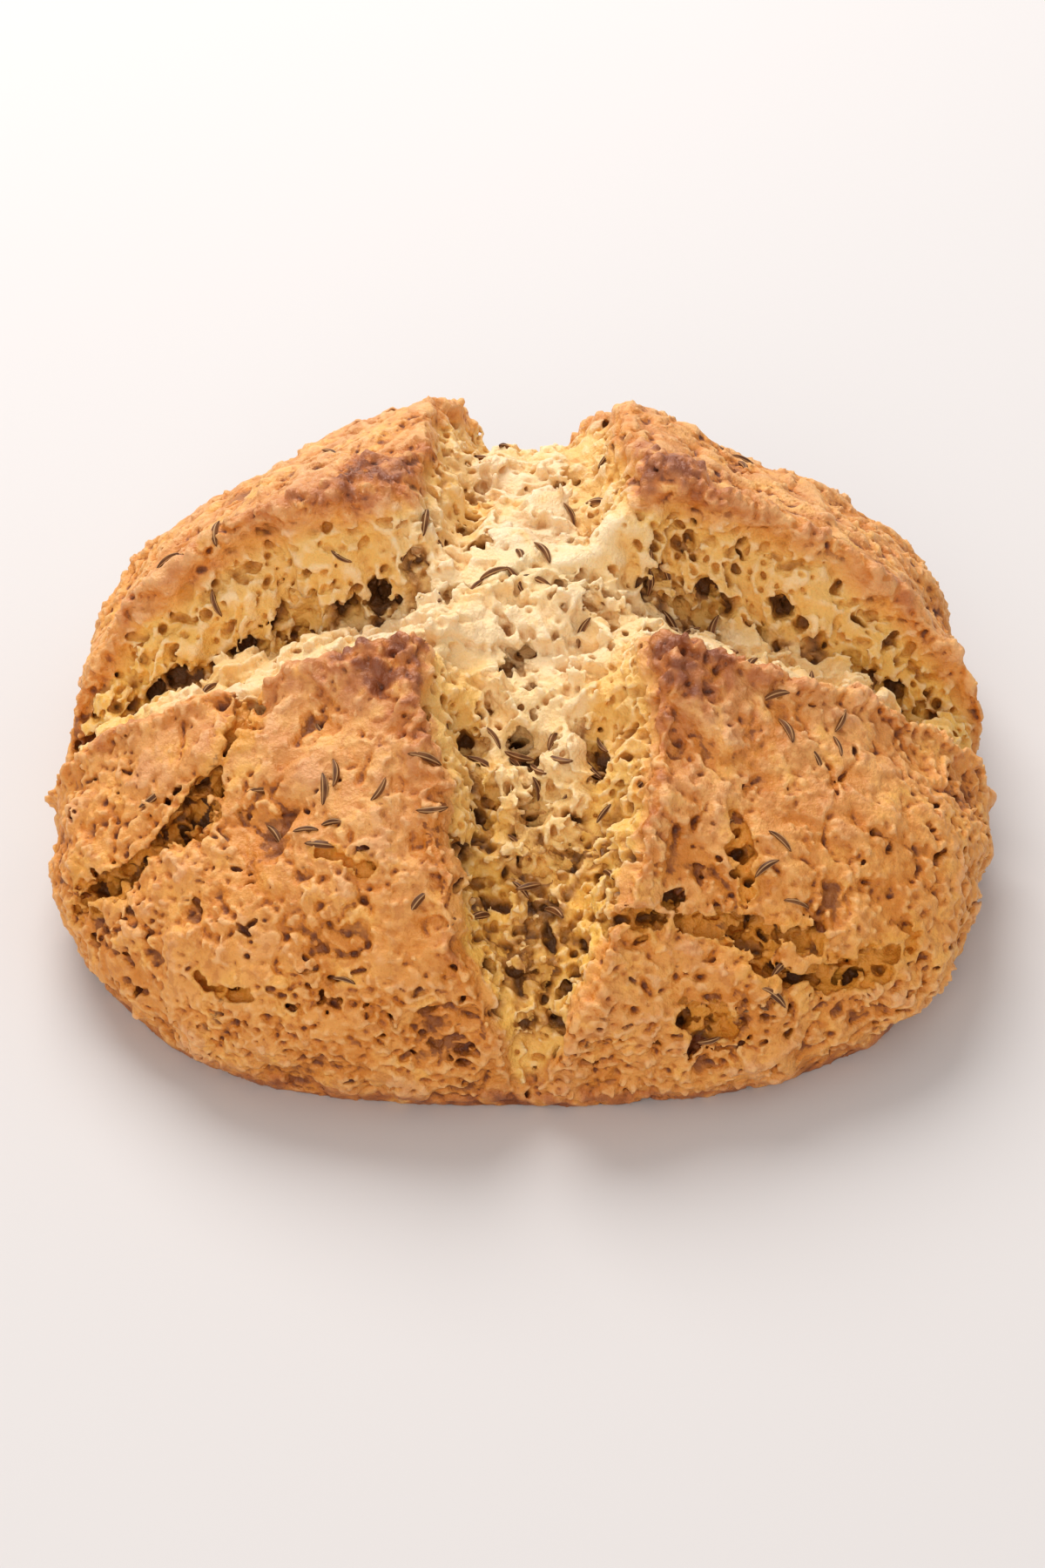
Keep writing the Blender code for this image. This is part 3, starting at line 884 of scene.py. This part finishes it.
def build_loaf(material):
    """The loaf's pieces, and its fine surface and volume for the seeds to lie on."""
    points, normals, facts = loaf_surface()
    quads, loop = grid_faces(len(points))
    shell = np.vstack([points.reshape(-1, 3), (0, 0, 0)])
    middle = np.full(len(loop), len(shell) - 1)
    volume = Volume(shell, quads, np.stack([middle, np.roll(loop, -1), loop], -1))
    carve_holes(volume, points, normals, facts)
    nearest = NearestPlace(points, normals, facts)
    pieces = []
    for name, spans in PIECES.items():
        places, faces = surface_mesh(*piece_distance(volume, spans))
        piece = mesh_piece("bread_" + name, places, faces, material)
        looks_of(piece.data, places, faces, nearest)
        pieces.append(piece)
    return pieces, (points, normals, facts, volume)


# ---------------------------------------------------------------- caraway seeds

SEED_LENGTH, SEED_THICKNESS, SEED_BEND = 6.0, 1.45, 0.6
SEED_RINGS, SEED_SIDES, SEED_RIDGES = 12, 20, 5
SEED_SPACING = 2.6  # least room between the middles of two seeds
SEED_PATCHES = (  # right, back, reach, how many seeds, which way they tend to point
    (0, -2, 5, 5, -30),  # at the crown
    (-18, 5, 4, 3, 20),  # under the back left corner
    (14, 32, 10, 4, -50),  # in the back arm
    (30, 0, 8, 5, -25),  # on the wall of the right arm
    (-10, -48, 14, 7, -40),  # down the left of the front arm
    (16, -54, 13, 6, 80),  # down its right
    (8, -75, 10, 5, 0),  # low in it
    (-40, -61, 8, 7, -50),  # on the front left quarter
    (-20, -86, 14, 4, 20),
    (50, -45, 9, 4, -60),  # on the front right quarter
    (46, -70, 7, 4, 10),
    (44, -96, 8, 4, 10),
    (-62, 10, 8, 4, 40),  # on the back left quarter
    (45, 46, 7, 4, -45),  # on the back right quarter
    (0, 0, 76, 28, 0),  # all over
)


def seed_mesh():
    """One caraway seed along X: a thin crescent, pointed at both ends, with ridges along it."""
    share = np.linspace(0, 1, SEED_RINGS + 1)[1:-1, None]
    turn = np.linspace(0, 2 * np.pi, SEED_SIDES, endpoint=False)[None, :]
    ridge = 0.5 + 0.5 * np.cos(SEED_RIDGES * turn)
    radius = SEED_THICKNESS / 2 * np.sin(np.pi * share) ** 0.6 * (0.84 + 0.16 * ridge)
    lengthwise = (share - 0.5) * SEED_LENGTH + 0 * turn
    arch = SEED_BEND * (1 - (2 * share - 1) ** 2)
    ring_points = np.stack([lengthwise, radius * np.cos(turn) + arch, radius * np.sin(turn)], -1)
    tips = [(-SEED_LENGTH / 2, 0, 0), (SEED_LENGTH / 2, 0, 0)]
    points = np.vstack([ring_points.reshape(-1, 3), tips])
    index = np.arange(len(share) * SEED_SIDES).reshape(len(share), SEED_SIDES)
    after = np.roll(index, -1, axis=1)
    faces = np.stack([index[:-1], after[:-1], after[1:], index[1:]], -1).reshape(-1, 4).tolist()
    start, end = len(points) - 2, len(points) - 1
    faces += [(start, int(b), int(a)) for a, b in zip(index[0], after[0])]
    faces += [(end, int(a), int(b)) for a, b in zip(index[-1], after[-1])]
    mesh = bpy.data.meshes.new("caraway_seed")
    mesh.from_pydata((points * MM).tolist(), [], [list(face)[::-1] for face in faces])
    mesh.shade_smooth()
    values = np.append(np.broadcast_to(ridge, radius.shape).ravel(), [0.3, 0.3]).astype(np.float32)
    mesh.attributes.new("ridge", "FLOAT", "POINT").data.foreach_set("value", values)
    return mesh


def scattered_seeds(rng):
    """Places and headings of the seeds: gathered in patches, and never on top of each other."""
    laid = []
    for right, back, reach, count, heading in SEED_PATCHES:
        spread = 180 if reach > 50 else 50
        for seed in range(count):
            place = np.array([right, back]) + reach * rng.uniform(-1, 1, 2)
            while any(np.hypot(*(place - other[:2])) < SEED_SPACING for other in laid):
                place = np.array([right, back]) + reach * rng.uniform(-1, 1, 2)
            laid.append(np.array([*place, heading + rng.uniform(-spread, spread)]))
    return laid


def seed_places(surface):
    """Where the seeds lie on the surface, sunk where there is a hole, and how each is turned."""
    points, normals, facts, volume = surface
    places, turns = [], []
    for right, back, heading in scattered_seeds(np.random.default_rng(31)):
        direction = np.array([math.cos(math.radians(heading)), math.sin(math.radians(heading))])
        step = 0.35 * SEED_LENGTH * direction
        spots = []
        for share in (-1, 0, 1):
            aside = facts["a"] - right - share * step[0], facts["b"] - back - share * step[1]
            spots.append(np.hypot(*aside).argmin())
        ends = points.reshape(-1, 3)[spots]
        along = unit(ends[2] - ends[0])
        out = normals.reshape(-1, 3)[spots].mean(0)
        out = unit(out - along * (out @ along))
        place = ends.mean(0)
        for sinking in range(4):
            place = place - out * max(volume.distance_at(place), 0)
        places.append(place + out * 0.15)
        turns.append(Matrix((along, np.cross(out, along), out)).transposed().to_euler())
    return np.array(places), np.array(turns)


def seed_tree(seed, material):
    """Lays a seed on each place, rolled and sized unevenly, and joins them all into one mesh."""
    tree = bpy.data.node_groups.new("caraway_scatter", "GeometryNodeTree")
    sockets = (
        ("Places", "INPUT", "NodeSocketGeometry"),
        ("Least size", "INPUT", "NodeSocketFloat"),
        ("Most size", "INPUT", "NodeSocketFloat"),
        ("Most roll", "INPUT", "NodeSocketFloat"),
        ("Random seed", "INPUT", "NodeSocketInt"),
        ("Seeds", "OUTPUT", "NodeSocketGeometry"),
    )
    for name, way, kind in sockets:
        tree.interface.new_socket(name, in_out=way, socket_type=kind)
    given = add(tree, "NodeGroupInput").outputs
    turn = add(tree, "GeometryNodeInputNamedAttribute", {"Name": "turn"}, data_type="FLOAT_VECTOR")
    facing = add(tree, "FunctionNodeEulerToRotation", {"Euler": turn.outputs["Attribute"]})
    least_roll = add(tree, "ShaderNodeMath", {0: given["Most roll"], 1: -1.0}, operation="MULTIPLY")
    inputs = {2: least_roll.outputs[0], 3: given["Most roll"], "Seed": given["Random seed"]}
    roll = add(tree, "FunctionNodeRandomValue", inputs, data_type="FLOAT")
    rolled = add(tree, "ShaderNodeCombineXYZ", {"X": roll.outputs[1]})
    own = add(tree, "FunctionNodeEulerToRotation", {"Euler": rolled.outputs["Vector"]})
    inputs = {"Rotation": facing.outputs["Rotation"], "Rotate By": own.outputs["Rotation"]}
    turned = add(tree, "FunctionNodeRotateRotation", inputs, rotation_space="LOCAL")
    inputs = {2: given["Least size"], 3: given["Most size"], "Seed": given["Random seed"]}
    size = add(tree, "FunctionNodeRandomValue", inputs, data_type="FLOAT")
    shape = add(tree, "GeometryNodeObjectInfo", {"Object": seed})
    inputs = {
        "Points": given["Places"],
        "Instance": shape.outputs["Geometry"],
        "Rotation": turned.outputs["Rotation"],
        "Scale": size.outputs[1],
    }
    laid = add(tree, "GeometryNodeInstanceOnPoints", inputs)
    joined = add(tree, "GeometryNodeRealizeInstances", {"Geometry": laid.outputs["Instances"]})
    inputs = {"Geometry": joined.outputs["Geometry"], "Material": material}
    painted = add(tree, "GeometryNodeSetMaterial", inputs)
    add(tree, "NodeGroupOutput", {"Seeds": painted.outputs["Geometry"]})
    return tree


def build_seeds(surface, material):
    """All the caraway seeds as one plain mesh."""
    places, turns = seed_places(surface)
    seed = bpy.data.objects.new("caraway_seed", seed_mesh())
    bpy.context.scene.collection.objects.link(seed)
    mesh = bpy.data.meshes.new("caraway_places")
    mesh.from_pydata((places * MM).tolist(), [], [])
    mesh.attributes.new("turn", "FLOAT_VECTOR", "POINT").data.foreach_set("vector", turns.ravel())
    piece = bpy.data.objects.new("caraway_seeds", mesh)
    bpy.context.scene.collection.objects.link(piece)
    tree = seed_tree(seed, material)
    scatter = piece.modifiers.new("scatter", "NODES")
    scatter.node_group = tree
    values = {"Least size": 0.72, "Most size": 1.08, "Most roll": 0.5, "Random seed": 3}
    for item in tree.interface.items_tree:
        if item.name in values:
            scatter[item.identifier] = values[item.name]
    evaluated = piece.evaluated_get(bpy.context.evaluated_depsgraph_get())
    joined = bpy.data.meshes.new_from_object(evaluated)
    piece.modifiers.remove(scatter)
    piece.data = joined
    bpy.data.objects.remove(seed)
    return piece


# ---------------------------------------------------------------- materials

FACTOR, COLOUR_A, COLOUR_B, COLOUR_OUT = 0, 6, 7, 2  # a colour Mix node's sockets
NOTES = ("crumb", "opened", "parted", "browned", "hollow", "sunk", "crease", "inward", "low", "wall")
NOISES = {"broad": (24, 3), "patchy": (6.5, 3), "specks": (1.9, 2), "grain": (0.7, 3)}  # size, detail
CRUST_COATS = (  # what each coat follows, from and to which value, how strongly, and its colour
    ("broad", 0.38, 0.55, 0.7, "#eeb46c"),
    ("broad", 0.56, 0.68, 0.55, "#ce9168"),
    ("patchy", 0.46, 0.6, 0.65, "#cb8240"),
    ("low", 0.0, 0.8, 0.6, "#e39a3e"),
    ("patchy", 0.46, 0.32, 0.6, "#f2b456"),
    # raised flakes: partly their toasted tone, partly a painted pinkish highlight
    ("crease", 0.54, 0.76, 0.55, "#dfa374"),
    ("specks", 0.5, 0.64, 0.45, "#b86a22"),
    # painted highlight: paler where the crust stands above the points around it
    ("sunk", 0.46, 0.28, 0.35, "#f8cc92"),
    ("opened", 0.1, 0.6, 0.7, "#e2a040"),
    ("crease", 0.46, 0.28, 0.75, "#d07a10"),
    # painted shade: darker where the crust lies below the points around it
    ("sunk", 0.55, 0.78, 0.7, "#b65c0c"),
    # painted shade: dark inside holes, pits and splits of the crust
    ("hollow", 0.06, 0.26, 0.9, "#562604"),
    ("browned", 0.0, 0.55, 0.75, "#bd6c34"),
    ("browned", 0.3, 1.1, 0.9, "#824429"),
    # painted shade: dark in the deepest creases
    ("crease", 0.32, 0.1, 0.75, "#6c3008"),
    # painted shade: darkest in the crust's deepest hollows
    ("sunk", 0.6, 0.85, 0.9, "#4c1d06"),
)
CRUMB_COATS = (
    ("broad", 0.35, 0.65, 0.6, "#f8d490"),
    ("patchy", 0.45, 0.75, 0.6, "#f2c068"),
    # painted warm shade: yellower crumb on the cut's walls
    ("wall", 0.0, 1.0, 0.8, "#eeb954"),
    # painted warm shade: yellower crumb low down
    ("low", 0.0, 0.9, 0.8, "#f4bf54"),
    ("inward", 0.22, 0.06, 0.7, "#dd9040"),
    # painted highlight: pale cream on the crumb's ridges and bumps
    ("sunk", 0.47, 0.15, 0.4, "#fff2d8"),
    # painted shade: darker orange in the crumb's hollows
    ("sunk", 0.55, 0.9, 0.7, "#c97e18"),
    ("opened", 0.5, 0.75, 0.85, "#e0962c"),
    # painted shade: darker inside the crumb's holes and splits
    ("hollow", 0.12, 0.45, 0.75, "#ae6a18"),
    # painted shade: darker down the crumb's cracks
    ("parted", 0.8, 1.0, 0.4, "#b0742a"),
    # painted shade: darkest deep in the crumb's holes and splits
    ("hollow", 0.3, 0.75, 0.9, "#502c0c"),
)


def paint(code):
    """An sRGB hex colour as linear values."""
    parts = [int(code[i : i + 2], 16) / 255 for i in (1, 3, 5)]
    return [p / 12.92 if p <= 0.04045 else ((p + 0.055) / 1.055) ** 2.4 for p in parts] + [1.0]


def add(tree, kind, inputs=(), **settings):
    """A node with its settings, its values and what feeds it."""
    node = tree.nodes.new(kind)
    for name, value in settings.items():
        setattr(node, name, value)
    for name, value in dict(inputs).items():
        if isinstance(value, bpy.types.NodeSocket):
            tree.links.new(value, node.inputs[name])
        else:
            node.inputs[name].default_value = value
    return node


def new_material(name):
    material = bpy.data.materials.new(name)
    material.use_nodes = True
    material.node_tree.nodes.clear()
    return material, material.node_tree


def coated(tree, sources, colour, coats):
    """A colour with coats of other colours over it, each laid where its source says."""
    for source, start, end, most, code in coats:
        inputs = {"Value": sources[source], "From Min": start, "From Max": end, "To Max": most}
        share = add(tree, "ShaderNodeMapRange", inputs, interpolation_type="SMOOTHSTEP")
        inputs = {FACTOR: share.outputs["Result"], COLOUR_A: colour, COLOUR_B: paint(code)}
        colour = add(tree, "ShaderNodeMix", inputs, data_type="RGBA").outputs[COLOUR_OUT]
    return colour


def bread():
    """Soda bread: a dull golden crust, baked without a tin, and moist cream crumb with a soft gloss."""
    material, tree = new_material("soda_bread")
    place = add(tree, "ShaderNodeTexCoord").outputs["Object"]
    sources = {}
    for name in NOTES:
        sources[name] = add(tree, "ShaderNodeAttribute", attribute_name=name).outputs["Fac"]
    for name, (size, detail) in NOISES.items():
        inputs = {"Vector": place, "Scale": 1 / (size * MM), "Detail": detail, "Roughness": 0.55}
        sources[name] = add(tree, "ShaderNodeTexNoise", inputs).outputs["Fac"]
    crust = coated(tree, sources, paint("#dd9a55"), CRUST_COATS)
    crumb = coated(tree, sources, paint("#efd5ae"), CRUMB_COATS)
    inputs = {FACTOR: sources["crumb"], COLOUR_A: crust, COLOUR_B: crumb}
    colour = add(tree, "ShaderNodeMix", inputs, data_type="RGBA").outputs[COLOUR_OUT]
    inputs = {"Strength": 0.65, "Distance": 0.8 * MM, "Height": sources["grain"]}
    grain = add(tree, "ShaderNodeBump", inputs)
    inputs = {"Value": sources["browned"], "To Min": 0.52, "To Max": 0.38}
    roughness = add(tree, "ShaderNodeMapRange", inputs)
    inputs = {
        "Base Color": colour,
        "Roughness": roughness.outputs["Result"],
        "Normal": grain.outputs["Normal"],
        "Subsurface Weight": 0.1,
        "Subsurface Radius": (2.5 * MM, 1.2 * MM, 0.5 * MM),
        "Subsurface Scale": 1.0,
        "Specular IOR Level": 0.5,
    }
    shader = add(tree, "ShaderNodeBsdfPrincipled", inputs)
    add(tree, "ShaderNodeOutputMaterial", {"Surface": shader.outputs["BSDF"]})
    return material


def caraway():
    """Baked caraway: a dry, dark brown husk with dull straw-coloured ridges."""
    material, tree = new_material("caraway_husk")
    place = add(tree, "ShaderNodeTexCoord").outputs["Object"]
    ridge = add(tree, "ShaderNodeAttribute", attribute_name="ridge").outputs["Fac"]
    mottle = add(tree, "ShaderNodeTexNoise", {"Vector": place, "Scale": 1 / (2.5 * MM)}).outputs["Fac"]
    coats = (("mottle", 0.35, 0.7, 0.7, "#86562f"), ("ridge", 0.6, 0.95, 0.85, "#c99e6c"))
    colour = coated(tree, {"mottle": mottle, "ridge": ridge}, paint("#532f17"), coats)
    inputs = {"Base Color": colour, "Roughness": 0.55, "Specular IOR Level": 0.25}
    shader = add(tree, "ShaderNodeBsdfPrincipled", inputs)
    add(tree, "ShaderNodeOutputMaterial", {"Surface": shader.outputs["BSDF"]})
    return material


def matte(name, code):
    material, tree = new_material(name)
    shader = add(tree, "ShaderNodeBsdfPrincipled", {"Base Color": paint(code), "Roughness": 0.8})
    add(tree, "ShaderNodeOutputMaterial", {"Surface": shader.outputs["BSDF"]})
    return material


# ---------------------------------------------------------------- stage, light and camera


def lay_floor():
    mesh = bpy.data.meshes.new("floor")
    mesh.from_pydata([(-3, -2, 0), (3, -2, 0), (3, 4, 0), (-3, 4, 0)], [], [(0, 1, 2, 3)])
    mesh.materials.append(matte("matte_floor", "#d0cfd3"))
    floor = bpy.data.objects.new("floor", mesh)
    bpy.context.scene.collection.objects.link(floor)


def aim(thing, place, target):
    thing.location = place
    thing.rotation_euler = (Vector(target) - Vector(place)).to_track_quat("-Z", "Y").to_euler()


LIT_PLACE = (0, 0, 0.03)


def light(name, place, size, watts, code):
    lamp = bpy.data.lights.new(name, "AREA")
    lamp.shape = "DISK"
    lamp.size, lamp.energy, lamp.color = size, watts, paint(code)[:3]
    thing = bpy.data.objects.new(name, lamp)
    bpy.context.scene.collection.objects.link(thing)
    aim(thing, place, LIT_PLACE)


def light_studio():
    light("window", (-0.3, 0.85, 1.1), 1.0, 19, "#fffaf2")
    light("front_fill", (-0.3, -1.3, 0.8), 0.9, 7.4, "#fff2e0")
    world = bpy.data.worlds.new("soft_room")
    world.use_nodes = True
    background = world.node_tree.nodes["Background"]
    background.inputs["Color"].default_value = paint("#fffaf5")
    background.inputs["Strength"].default_value = 0.6
    bpy.context.scene.world = world
    bpy.context.scene.view_settings.view_transform = "Standard"


CAMERA_PLACE = (0, -0.4788, 0.3924)
CAMERA_TILT = 39  # degrees down from level
LENS = 72


def place_camera():
    camera = bpy.data.cameras.new("camera")
    camera.sensor_width = 36
    camera.lens = LENS
    camera.clip_start = 0.02
    thing = bpy.data.objects.new("camera", camera)
    thing.location = CAMERA_PLACE
    thing.rotation_euler = (math.radians(90 - CAMERA_TILT), 0, 0)
    bpy.context.scene.collection.objects.link(thing)
    bpy.context.scene.camera = thing


def main():
    place_camera()
    lay_floor()
    light_studio()
    pieces, surface = build_loaf(bread())
    pieces.append(build_seeds(surface, caraway()))
    for piece in pieces:
        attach(piece, "root")
        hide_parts("loaf")


main()
